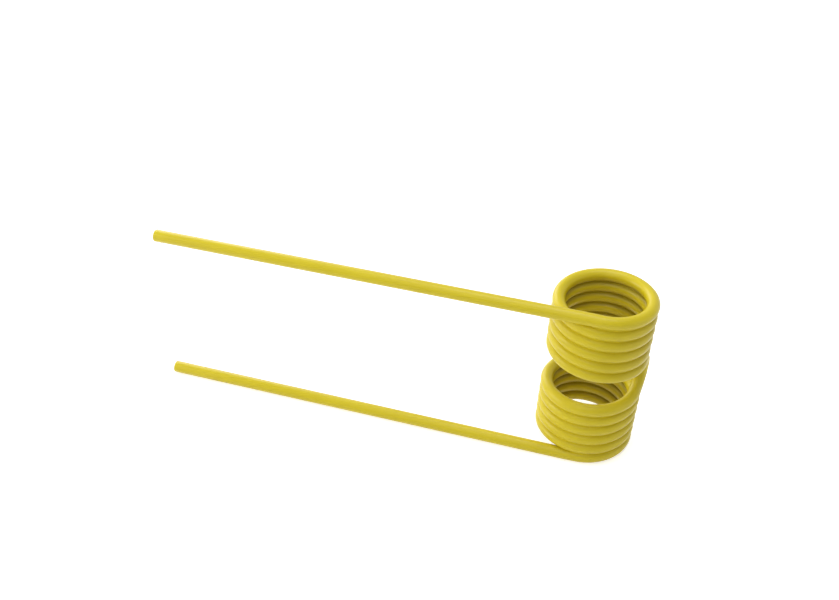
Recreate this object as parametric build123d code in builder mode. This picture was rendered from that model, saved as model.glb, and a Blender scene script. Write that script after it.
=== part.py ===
from build123d import *

import math
import os

# Spring tine of a hay pickup or rake, bent from one round spring-steel wire. A straight
# leg runs into each of two close-wound coils of opposite hand on one axis, and a U-shaped
# bridge joins the inner ends of the coils. A bolt through the bridge holds the tine on its
# bar, and the coils let each leg give way by itself.
#
# +Z is the coil axis, with the origin on it half way between the coils. The legs run to -X
# and touch the coils on their -Y side, and the bridge stands out on the +X side. The plane
# Z = 0 is a plane of symmetry. Lengths are in millimetres and angles in degrees.

# Wire
wire_diameter = 5.5

# Legs
leg_length = 198.5  # from the coil axis to the cut tip
leg_bend_radius = 175.0  # of the slight bend that sets the leg square to the coil axis
tip_chamfer = 0.3

# Coils
coil_inner_diameter = 33.6
turn_gap = 0.1  # between neighbouring turns
whole_turns = 5
leg_angle = -90.0  # about the coil axis from +X, where the leg touches the coil
bridge_angle = -8.0  # where the last turn ends

# Bridge
bridge_inner_width = 11.7  # room for the bolt, along the coil axis
bridge_straight = 1.0  # from the end of the last turn to the U bend

# The helix of one coil
wire_radius = wire_diameter / 2
coil_radius = (coil_inner_diameter + wire_diameter) / 2
coil_pitch = wire_diameter + turn_gap
coil_turns = whole_turns + (bridge_angle - leg_angle) / 360
coil_height = coil_pitch * coil_turns
helix_slope = math.atan(coil_pitch / (2 * math.pi * coil_radius))

# Levels above the plane of symmetry, from the U bend out to the leg
bridge_bend_radius = (bridge_inner_width + wire_diameter) / 2
bend_height = bridge_bend_radius * math.cos(helix_slope)
coil_foot = bend_height + bridge_straight * math.sin(helix_slope)
coil_top = coil_foot + coil_height
leg_level = coil_top + leg_bend_radius * (1 - math.cos(helix_slope))
leg_bend_reach = leg_bend_radius * math.sin(helix_slope)

# The upper coil winds clockwise from its foot at the bridge up to its top at the leg
upper_coil = Helix(
    coil_pitch, coil_height, coil_radius, center=(0, 0, coil_foot), lefthand=True, mode=Mode.PRIVATE
)

with BuildPart() as spring_tine:
    with BuildLine() as centre_line:
        upper_leg = Line(
            (-leg_length, -coil_radius, leg_level), (-leg_bend_reach, -coil_radius, leg_level)
        )
        TangentArc(upper_leg @ 1, (0, -coil_radius, coil_top), tangent=upper_leg % 1)
        placed_coil = add(upper_coil, rotation=bridge_angle).edge()
        into_bridge = -(placed_coil % 0)
        last_straight = Line(placed_coil @ 0, placed_coil @ 0 + into_bridge * bridge_straight)
        mirror(about=Plane.XY)
        bend_start = last_straight @ 1
        bend_end = (bend_start.X, bend_start.Y, -bend_start.Z)
        TangentArc(bend_start, bend_end, tangent=into_bridge)
    with BuildSketch(Plane(origin=upper_leg @ 0, z_dir=upper_leg % 0)):
        Circle(wire_radius)
    sweep(path=centre_line.line)
    cut_tips = spring_tine.faces().filter_by(Plane.YZ).sort_by(Axis.X)[:2]
    chamfer(cut_tips.edges(), tip_chamfer)

spring_tine.part.label = "spring_tine"

wire_length = centre_line.wire().length
print(f"turns in each coil {coil_turns:.2f}, leg spacing {2 * leg_level:.1f}")
print(f"wire length {wire_length:.0f}, volume {spring_tine.part.volume:.0f}")

os.makedirs("parts", exist_ok=True)
export_step(spring_tine.part, "parts/spring_tine.step")
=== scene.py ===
# %% [markdown]
# # Spring tine
#
# This is the tine of a hay pickup or a rake: one round spring-steel wire, bent into two
# straight legs, two coils and a U-shaped bridge between them, then coated yellow. The
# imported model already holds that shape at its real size. This script gives it its coat,
# a white studio and a camera.

import math

import bpy
from mathutils import Matrix, Vector


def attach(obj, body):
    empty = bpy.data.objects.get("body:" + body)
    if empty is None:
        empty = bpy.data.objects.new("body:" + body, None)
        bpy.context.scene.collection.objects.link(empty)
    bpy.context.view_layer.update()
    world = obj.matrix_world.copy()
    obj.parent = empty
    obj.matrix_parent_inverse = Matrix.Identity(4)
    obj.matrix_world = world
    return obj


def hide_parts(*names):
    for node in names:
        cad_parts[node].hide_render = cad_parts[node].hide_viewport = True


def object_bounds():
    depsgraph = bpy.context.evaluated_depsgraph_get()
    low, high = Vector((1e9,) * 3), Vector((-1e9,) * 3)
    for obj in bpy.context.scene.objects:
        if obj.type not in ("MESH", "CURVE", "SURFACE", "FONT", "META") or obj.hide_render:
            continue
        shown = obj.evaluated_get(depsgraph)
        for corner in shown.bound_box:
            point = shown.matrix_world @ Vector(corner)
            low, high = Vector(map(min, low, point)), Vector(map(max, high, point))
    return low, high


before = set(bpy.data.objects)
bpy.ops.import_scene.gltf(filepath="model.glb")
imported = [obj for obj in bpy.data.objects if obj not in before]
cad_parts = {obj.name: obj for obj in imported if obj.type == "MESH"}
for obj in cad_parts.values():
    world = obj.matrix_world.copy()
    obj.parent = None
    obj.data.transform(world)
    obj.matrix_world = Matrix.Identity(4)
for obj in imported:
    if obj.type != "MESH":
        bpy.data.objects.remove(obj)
cad_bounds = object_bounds()

bpy.ops.object.select_all(action="DESELECT")
print("packed model", [round(side, 4) for corner in cad_bounds for side in corner])

# %% [markdown]
# ## Sizes of the wire
#
# The real tine is bent cold on a coiling machine: the wire is fed round a mandrel, and the
# pitch of the coil is set so that the turns almost touch. Its line is therefore made of a
# few exact runs: a straight leg, a slight bend, a helix, a short straight and half a U
# bend. The other half is its mirror image. All lengths are in metres.

# %% Sizes of the wire
WIRE_RADIUS = 0.00275
COIL_RADIUS = 0.01955
COIL_PITCH = 0.0056
COIL_FOOT = 0.008637  # the height at which the coil leaves the bridge
COIL_TURNS = 5.2278
BRIDGE_ANGLE = math.radians(-8)
BRIDGE_STRAIGHT = 0.001
BRIDGE_BEND = 0.0086
LEG_BEND = 0.175
LEG_TIP = -0.1985

slope = math.atan(COIL_PITCH / (math.tau * COIL_RADIUS))
coil_top = COIL_FOOT + COIL_PITCH * COIL_TURNS
print("slope of the turns", round(math.degrees(slope), 2), "coil top", round(coil_top, 5))

# %% [markdown]
# ## Wire
#
# A curve with a round bevel would be the quick way to a wire. It gives little say in where
# the faces lie, though, and a satin gloss shows every uneven face. Here one ring of the
# wire is carried along by the tools of edit mode instead: the Screw modifier turns and
# lifts it into a coil, spin bends it, and extrude draws it out straight. Each run meets
# the next tangent, because the ring stands square to the wire.

# %% One ring at the foot of the upper coil
WIRE_SIDES = 32

foot = Matrix.Rotation(BRIDGE_ANGLE, 4, "Z") @ Vector((COIL_RADIUS, 0, COIL_FOOT))
bpy.ops.mesh.primitive_circle_add(
    vertices=WIRE_SIDES,
    radius=WIRE_RADIUS,
    location=foot,
    rotation=(math.pi / 2 - slope, 0, BRIDGE_ANGLE),
)
tine = bpy.context.object
tine.name = "bent_wire"
bpy.ops.object.transform_apply(location=True, rotation=True, scale=True)
print("ring of", len(tine.data.vertices), "corners")

# %% Coil
STEPS_PER_TURN = 96


def coil_up(piece, turns):
    """Screws the piece clockwise up round the Z axis."""
    coil = piece.modifiers.new("coil", "SCREW")
    coil.angle = -turns * math.tau
    coil.screw_offset = turns * COIL_PITCH
    coil.steps = coil.render_steps = round(turns * STEPS_PER_TURN)
    bpy.ops.object.modifier_apply(modifier=coil.name)
    print(piece.name, "has", len(piece.data.polygons), "faces after", round(turns, 2), "turns")


coil_up(tine, COIL_TURNS)

# %% Selecting a ring by its place
up_slope = Vector((0, -math.cos(slope), math.sin(slope)))
foot_heading = Matrix.Rotation(BRIDGE_ANGLE, 3, "Z") @ up_slope
top = Vector((0, -COIL_RADIUS, coil_top))
top_heading = Matrix.Rotation(math.radians(-90), 3, "Z") @ up_slope


def pick_ring(piece, middle, heading, reach):
    """Goes to edit mode with only the ring round middle selected."""
    bpy.ops.object.mode_set(mode="EDIT")
    bpy.ops.mesh.select_mode(type="VERT")
    bpy.ops.mesh.select_all(action="DESELECT")
    bpy.ops.object.mode_set(mode="OBJECT")
    for corner in piece.data.vertices:
        offset = corner.co - middle
        corner.select = offset.length < reach and abs(offset.dot(heading)) < 1e-5
    bpy.ops.object.mode_set(mode="EDIT")
    print("ring of", piece.data.total_vert_sel, "selected on", piece.name)


def middle_of_selection(piece):
    """The mean place of the selected corners."""
    piece.update_from_editmode()
    places = [corner.co.copy() for corner in piece.data.vertices if corner.select]
    return sum(places, Vector()) / len(places)


# %% Half of the bridge
BRIDGE_STEPS = 16

pick_ring(tine, foot, foot_heading, WIRE_RADIUS * 1.01)
bpy.ops.mesh.extrude_region_move(TRANSFORM_OT_translate={"value": -foot_heading * BRIDGE_STRAIGHT})
bend_start = foot - foot_heading * BRIDGE_STRAIGHT
outwards = Vector((-math.sin(BRIDGE_ANGLE), math.cos(BRIDGE_ANGLE), 0))
bend_middle = bend_start - outwards * BRIDGE_BEND * math.sin(slope)
bend_middle.z = 0
bpy.ops.mesh.spin(
    steps=BRIDGE_STEPS,
    angle=math.pi / 2 - slope,
    center=bend_middle,
    axis=outwards.cross(Vector((0, 0, 1))),
)
print("bridge ends at", [round(v, 6) for v in middle_of_selection(tine)])

# %% Slight bend and leg
LEG_BEND_STEPS = 6

pick_ring(tine, top, top_heading, WIRE_RADIUS * 1.01)
leg_level = coil_top + LEG_BEND * (1 - math.cos(slope))
bpy.ops.mesh.spin(
    steps=LEG_BEND_STEPS,
    angle=slope,
    center=(-LEG_BEND * math.sin(slope), -COIL_RADIUS, leg_level - LEG_BEND),
    axis=(0, 1, 0),
)
bend_end = middle_of_selection(tine)
bpy.ops.mesh.extrude_region_move(TRANSFORM_OT_translate={"value": (LEG_TIP - bend_end.x, 0, 0)})
print("leg from", [round(v, 6) for v in bend_end], "to", [round(v, 6) for v in middle_of_selection(tine)])

# %% Cut tip
TIP_ROUNDING = 0.0003

bpy.ops.mesh.edge_face_add()
bpy.ops.mesh.bevel(offset=TIP_ROUNDING, segments=3, affect="EDGES")
bpy.ops.object.mode_set(mode="OBJECT")
print("tip closed,", len(tine.data.polygons), "faces")

# %% Lower half


def mirror_down(piece):
    """Adds the mirror image below the plane of symmetry and joins it where they meet."""
    lower = piece.modifiers.new("lower_half", "MIRROR")
    lower.use_axis = (False, False, True)
    lower.merge_threshold = 1e-6
    bpy.ops.object.modifier_apply(modifier=lower.name)
    bpy.ops.object.mode_set(mode="EDIT")
    bpy.ops.mesh.select_all(action="SELECT")
    bpy.ops.mesh.remove_doubles(threshold=1e-7)
    bpy.ops.mesh.normals_make_consistent(inside=False)
    bpy.ops.object.mode_set(mode="OBJECT")
    bpy.ops.object.shade_smooth_by_angle(angle=math.radians(40))


mirror_down(tine)
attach(tine, "root")
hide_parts("spring_tine")
print("wire", [round(side, 5) for side in tine.dimensions], len(tine.data.polygons), "faces")

# %% [markdown]
# ## Paint between the turns
#
# Neighbouring turns lie a tenth of a millimetre apart, and the coat bridges that gap. It
# fills the bottom of each groove with a small hollow bead, on the outside and the inside
# of the coil, which is why the grooves of a painted spring look soft. The bead could be
# painted on with bump, but only real geometry is right from every side. Its section is a
# thin web with flared ends, and the same screw as the coil's carries it round.

# %% Section of the web
WEB_REACH = 0.0012  # from the middle of the wire to the bead's edge, outwards and inwards
WEB_DIP = 0.00014
WEB_WAIST = 0.0002
WEB_OVERLAP = 0.00005  # into the wire on each side

gap = COIL_PITCH - 2 * WIRE_RADIUS
flare = gap / 2 + WIRE_RADIUS - math.sqrt(WIRE_RADIUS**2 - WEB_REACH**2) + WEB_OVERLAP
web_start = foot + Vector((0, 0, COIL_PITCH / 2))
bpy.ops.mesh.primitive_plane_add(size=1, location=web_start, rotation=(math.pi / 2, 0, BRIDGE_ANGLE))
web = bpy.context.object
web.name = "paint_between_turns"
web.scale = (2 * WEB_REACH, 2 * flare, 1)
bpy.ops.object.transform_apply(location=True, rotation=True, scale=True)

bpy.ops.object.mode_set(mode="EDIT")
bpy.ops.mesh.delete(type="ONLY_FACE")
bpy.ops.mesh.select_all(action="SELECT")
bpy.ops.mesh.subdivide(number_cuts=1)
bpy.ops.mesh.select_all(action="DESELECT")
bpy.ops.object.mode_set(mode="OBJECT")
radial = Vector((math.cos(BRIDGE_ANGLE), math.sin(BRIDGE_ANGLE), 0))
for corner in web.data.vertices:
    from_middle = corner.co - web_start
    if abs(from_middle.dot(radial)) < 1e-6:
        corner.co = web_start + Vector((0, 0, math.copysign(WEB_WAIST / 2, from_middle.z)))
    elif abs(from_middle.z) < 1e-6:
        corner.co -= radial * math.copysign(WEB_DIP, from_middle.dot(radial))
print("bead", round(2000 * (flare - WEB_OVERLAP), 2), "mm wide,", len(web.data.vertices), "corners")

# %% Web round the coil
RUN_OUT_STEP = 0.0015
RUN_OUT_SIZES = (0.88, 0.72, 0.3)  # each against the size before it

coil_up(web, COIL_TURNS - 1)
web_top = Vector((0, -COIL_RADIUS, coil_top - COIL_PITCH / 2))
ends = (
    (web_start, Matrix.Rotation(BRIDGE_ANGLE, 3, "Z") @ Vector((0, -1, 0)), -foot_heading),
    (web_top, Vector((-1, 0, 0)), top_heading),
)
for middle, across, heading in ends:
    pick_ring(web, middle, across, WEB_REACH * 1.1)
    for step, size in enumerate(RUN_OUT_SIZES, start=1):
        bpy.ops.mesh.extrude_region_move(TRANSFORM_OT_translate={"value": heading * RUN_OUT_STEP})
        bpy.ops.transform.resize(
            value=(size, size, size), center_override=middle + heading * RUN_OUT_STEP * step
        )
    bpy.ops.mesh.edge_face_add()
bpy.ops.object.mode_set(mode="OBJECT")
mirror_down(web)
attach(web, "root")
print("paint", [round(side, 5) for side in web.dimensions], len(web.data.polygons), "faces")

# %% [markdown]
# ## Camera
#
# The camera looks down on the tine from the front right, a little tipped to one side. It
# could be placed by its own coordinates, but an orbit is easier to read and to change: a
# point to look at, a distance, two angles and a roll. The matrices are multiplied in the
# order in which a camera operator would make the moves.

# %% Camera
CAMERA_AZIMUTH = math.radians(14.76)
CAMERA_ELEVATION = math.radians(36.15)
CAMERA_ROLL = math.radians(2.29)
CAMERA_DISTANCE = 0.4459
LOOK_AT = Vector((-0.0866, 0.0216, 0))
SENSOR_WIDTH = 36
FOCAL_LENGTH = 39.88

bpy.ops.object.camera_add()
camera = bpy.context.object
camera.name = "camera"
camera.matrix_world = (
    Matrix.Translation(LOOK_AT)
    @ Matrix.Rotation(CAMERA_AZIMUTH, 4, "Z")
    @ Matrix.Rotation(math.radians(90) - CAMERA_ELEVATION, 4, "X")
    @ Matrix.Rotation(CAMERA_ROLL, 4, "Z")
    @ Matrix.Translation((0, 0, CAMERA_DISTANCE))
)
camera.data.sensor_width = SENSOR_WIDTH
camera.data.lens = FOCAL_LENGTH
camera.data.clip_end = 30
bpy.context.scene.camera = camera
print("camera at", [round(value, 4) for value in camera.matrix_world.translation])

# %% [markdown]
# ## Coat
#
# A tine is sprayed or powder coated after it is bent, so the coat covers everything and has
# no bare edge. It is a smooth yellow with a satin gloss. A plain colour would look like
# plastic, because a real coat is never quite even: it flows out in a fine orange peel and its
# tone drifts by a few percent. The creases between the turns on the inside of the coil are
# also painted darker, as painted shade. Each of these is one pattern on Object coordinates,
# which are the same as the real place on the wire, so a pattern keeps its true size.

# %% Material and its helpers
coat = bpy.data.materials.new("yellow_coat")
coat.use_nodes = True
nodes = coat.node_tree.nodes
links = coat.node_tree.links
shader = nodes["Principled BSDF"]
place = nodes.new("ShaderNodeTexCoord")


def noise(scale, detail, roughness):
    """A noise pattern on the wire, with spots about 1 / scale metres wide."""
    pattern = nodes.new("ShaderNodeTexNoise")
    pattern.inputs["Scale"].default_value = scale
    pattern.inputs["Detail"].default_value = detail
    pattern.inputs["Roughness"].default_value = roughness
    links.new(place.outputs["Object"], pattern.inputs["Vector"])
    return pattern.outputs["Fac"]


def spread(value, low, high, to_low, to_high):
    """value moved from the range low to high into the range to_low to to_high, clamped."""
    spreader = nodes.new("ShaderNodeMapRange")
    spreader.inputs["From Min"].default_value = low
    spreader.inputs["From Max"].default_value = high
    spreader.inputs["To Min"].default_value = to_low
    spreader.inputs["To Max"].default_value = to_high
    links.new(value, spreader.inputs["Value"])
    return spreader.outputs["Result"]


def blend(mask, first, second):
    """first where mask is 0 and second where it is 1; each is a colour or a node's output."""
    mixer = nodes.new("ShaderNodeMix")
    mixer.data_type = "RGBA"
    links.new(mask, mixer.inputs["Factor"])
    for name, colour in (("A", first), ("B", second)):
        socket = next(s for s in mixer.inputs if s.name == name and s.type == "RGBA")
        if isinstance(colour, tuple):
            socket.default_value = colour
        else:
            links.new(colour, socket)
    return next(s for s in mixer.outputs if s.type == "RGBA")


# %% Math on the wire
def sum_up(operation, first, second=None):
    """A Math node; each value is a number or a node's output."""
    step = nodes.new("ShaderNodeMath")
    step.operation = operation
    for slot, value in enumerate((first, second)):
        if value is None:
            continue
        if isinstance(value, (int, float)):
            step.inputs[slot].default_value = value
        else:
            links.new(value, step.inputs[slot])
    return step.outputs["Value"]


# %% [markdown]
# ### Between the turns
#
# A point of a coil is on turn number (height - foot) / pitch, less the part of a turn that
# the wire has wound by then. That number is whole on the middle of the wire and a half where two
# neighbouring turns meet. So its distance from a half tells how near a crease is, all
# along the helix, with no UV map. The lower coil is the mirror of the upper one, and the
# absolute height serves both.

# %% Crease mask
CREASE_FULL = 0.0003  # distance along the axis from the line where two turns meet
CREASE_END = 0.0021
INSIDE_FROM = COIL_RADIUS + 0.0003
INSIDE_FULL = COIL_RADIUS - 0.0006

axes = nodes.new("ShaderNodeSeparateXYZ")
links.new(place.outputs["Object"], axes.inputs["Vector"])
angle = sum_up("ARCTAN2", axes.outputs["Y"], axes.outputs["X"])
wound = sum_up("FRACT", sum_up("DIVIDE", sum_up("SUBTRACT", BRIDGE_ANGLE, angle), math.tau))
height = sum_up("SUBTRACT", sum_up("ABSOLUTE", axes.outputs["Z"]), COIL_FOOT)
turn = sum_up("SUBTRACT", sum_up("DIVIDE", height, COIL_PITCH), wound)
off_crease = sum_up("ABSOLUTE", sum_up("SUBTRACT", sum_up("FRACT", turn), 0.5))
last_turn = sum_up("FLOOR", sum_up("SUBTRACT", COIL_TURNS, wound))
on_coil = sum_up("MULTIPLY", sum_up("GREATER_THAN", turn, 0), sum_up("LESS_THAN", turn, last_turn))
near_crease = spread(sum_up("MULTIPLY", off_crease, COIL_PITCH), CREASE_FULL, CREASE_END, 1, 0)
crease = sum_up("MULTIPLY", near_crease, on_coil)

across = sum_up("POWER", axes.outputs["X"], 2)
along = sum_up("POWER", axes.outputs["Y"], 2)
from_axis = sum_up("SQRT", sum_up("ADD", across, along))
inside = spread(from_axis, INSIDE_FROM, INSIDE_FULL, 0, 1)
# Mask of the painted shade: the creases on the inside of the coil.
inner_crease_painted_shade = sum_up("MULTIPLY", crease, inside)
print("crease from", CREASE_FULL, "to", CREASE_END)

# %% Tone of the coat, with painted shade in the inner creases
COAT_YELLOW = (0.645, 0.522, 0.012, 1)
COAT_DEEP = (0.615, 0.493, 0.011, 1)
CREASE_PAINTED_SHADE = (0.4, 0.31, 0.01, 1)

drift = spread(noise(40, 2, 0.5), 0.35, 0.65, 0, 1)
# Painted shade: the inner creases are painted darker, where the turns shade each other.
tone = blend(inner_crease_painted_shade, blend(drift, COAT_YELLOW, COAT_DEEP), CREASE_PAINTED_SHADE)
links.new(tone, shader.inputs["Base Color"])

# %% Gloss of the coat
GLOSS_SMOOTH = 0.33
GLOSS_DULL = 0.39
COAT_SPECULAR = 0.32

links.new(spread(noise(60, 2, 0.5), 0.3, 0.7, GLOSS_SMOOTH, GLOSS_DULL), shader.inputs["Roughness"])
shader.inputs["Specular IOR Level"].default_value = COAT_SPECULAR

# %% Orange peel
PEEL_SCALE = 700
PEEL_DEPTH = 0.0000025

peel = nodes.new("ShaderNodeBump")
peel.inputs["Strength"].default_value = 1
peel.inputs["Distance"].default_value = PEEL_DEPTH
links.new(noise(PEEL_SCALE, 1, 0.5), peel.inputs["Height"])
links.new(peel.outputs["Normal"], shader.inputs["Normal"])

# %% Coat on the wire
for piece in (tine, web):
    piece.data.materials.clear()
    piece.data.materials.append(coat)
print("coat has", len(nodes), "nodes")

# %% [markdown]
# ## White studio
#
# The tine lies on a white floor in a white room. A floor lit so hard that it clips would
# burn out the coat too. So the lamps stay plain, and a little glow is added to the floor
# for the camera and for reflections only. It lifts the lit floor to white and leaves the
# shadow under the tine.

# %% Floor
FLOOR_SIZE = 12
TABLE_GLOW = 0.22
WHITE_GLOW = 0.4
FAR_GLOW = 0.8
FAR_FROM = 0.6
FAR_TO = 1.8


def seen_directly(tree):
    """A value of 1 for rays from the camera and in reflections and glass, and 0 for light."""
    path = tree.nodes.new("ShaderNodeLightPath")
    camera_or_gloss = tree.nodes.new("ShaderNodeMath")
    camera_or_gloss.operation = "MAXIMUM"
    tree.links.new(path.outputs["Is Camera Ray"], camera_or_gloss.inputs[0])
    tree.links.new(path.outputs["Is Glossy Ray"], camera_or_gloss.inputs[1])
    seen = tree.nodes.new("ShaderNodeMath")
    seen.operation = "MAXIMUM"
    tree.links.new(camera_or_gloss.outputs[0], seen.inputs[0])
    tree.links.new(path.outputs["Is Transmission Ray"], seen.inputs[1])
    return seen.outputs[0]


def times(tree, value, factor):
    """value multiplied by a fixed factor."""
    product = tree.nodes.new("ShaderNodeMath")
    product.operation = "MULTIPLY"
    tree.links.new(value, product.inputs[0])
    product.inputs[1].default_value = factor
    return product.outputs[0]


def plus(tree, value, amount):
    """value with a fixed amount added."""
    total = tree.nodes.new("ShaderNodeMath")
    total.operation = "ADD"
    tree.links.new(value, total.inputs[0])
    total.inputs[1].default_value = amount
    return total.outputs[0]


floor_level = cad_bounds[0][2]
bpy.ops.mesh.primitive_plane_add(size=FLOOR_SIZE, location=(0, 0, floor_level))
floor = bpy.context.object
floor.name = "floor"

floor_paint = bpy.data.materials.new("white_floor")
floor_paint.use_nodes = True
matt = floor_paint.node_tree.nodes["Principled BSDF"]
matt.inputs["Base Color"].default_value = (0.8, 0.8, 0.8, 1)
matt.inputs["Roughness"].default_value = 0.9
matt.inputs["Emission Color"].default_value = (1, 1, 1, 1)
floor_nodes = floor_paint.node_tree.nodes
floor_links = floor_paint.node_tree.links
floor_place = floor_nodes.new("ShaderNodeTexCoord")
distance = floor_nodes.new("ShaderNodeVectorMath")
distance.operation = "LENGTH"
floor_links.new(floor_place.outputs["Object"], distance.inputs[0])
fade = floor_nodes.new("ShaderNodeMapRange")
fade.inputs["From Min"].default_value = FAR_FROM
fade.inputs["From Max"].default_value = FAR_TO
fade.inputs["To Min"].default_value = WHITE_GLOW
fade.inputs["To Max"].default_value = FAR_GLOW
floor_links.new(distance.outputs["Value"], fade.inputs["Value"])
white_glow = floor_nodes.new("ShaderNodeMath")
white_glow.operation = "MULTIPLY"
floor_links.new(seen_directly(floor_paint.node_tree), white_glow.inputs[0])
floor_links.new(fade.outputs["Result"], white_glow.inputs[1])
glow = plus(floor_paint.node_tree, white_glow.outputs[0], TABLE_GLOW)
floor_links.new(glow, matt.inputs["Emission Strength"])
floor.data.materials.append(floor_paint)
print("floor at", round(floor_level, 5))

# %% White room
ROOM_LIGHT = 0.2

room = bpy.data.worlds.new("white_room")
bpy.context.scene.world = room
room.use_nodes = True
background = room.node_tree.nodes["Background"]
background.inputs["Color"].default_value = (1, 1, 1, 1)
extra = times(room.node_tree, seen_directly(room.node_tree), 1 - ROOM_LIGHT)
room.node_tree.links.new(plus(room.node_tree, extra, ROOM_LIGHT), background.inputs["Strength"])


# %% Softboxes
def softbox(name, place, aim, size, watts):
    """A square area lamp at place that points at aim."""
    bpy.ops.object.light_add(type="AREA", location=place)
    lamp = bpy.context.object
    lamp.name = name
    lamp.data.shape = "SQUARE"
    lamp.data.size = size
    lamp.data.energy = watts
    lamp.rotation_euler = (Vector(aim) - Vector(place)).to_track_quat("-Z", "Y").to_euler()
    print(name, "is", round((Vector(aim) - Vector(place)).length, 2), "m away")


softbox("top_light", (-0.1, 0.1, 1.3), (0, 0, 0), 0.9, 9.8)
softbox("left_light", (-1.25, -0.35, 0.35), (0, 0, 0), 0.7, 7.5)
softbox("left_back_light", (-0.9, 0.8, 0.5), (0, 0, 0), 0.8, 6.2)
softbox("front_light", (-0.2, -0.9, 0.9), (0, 0, 0), 0.8, 2.8)
softbox("right_light", (1.2, -0.2, 0.35), (0, 0, 0), 0.7, 1.2)

# %% View transform
bpy.context.scene.view_settings.view_transform = "Standard"
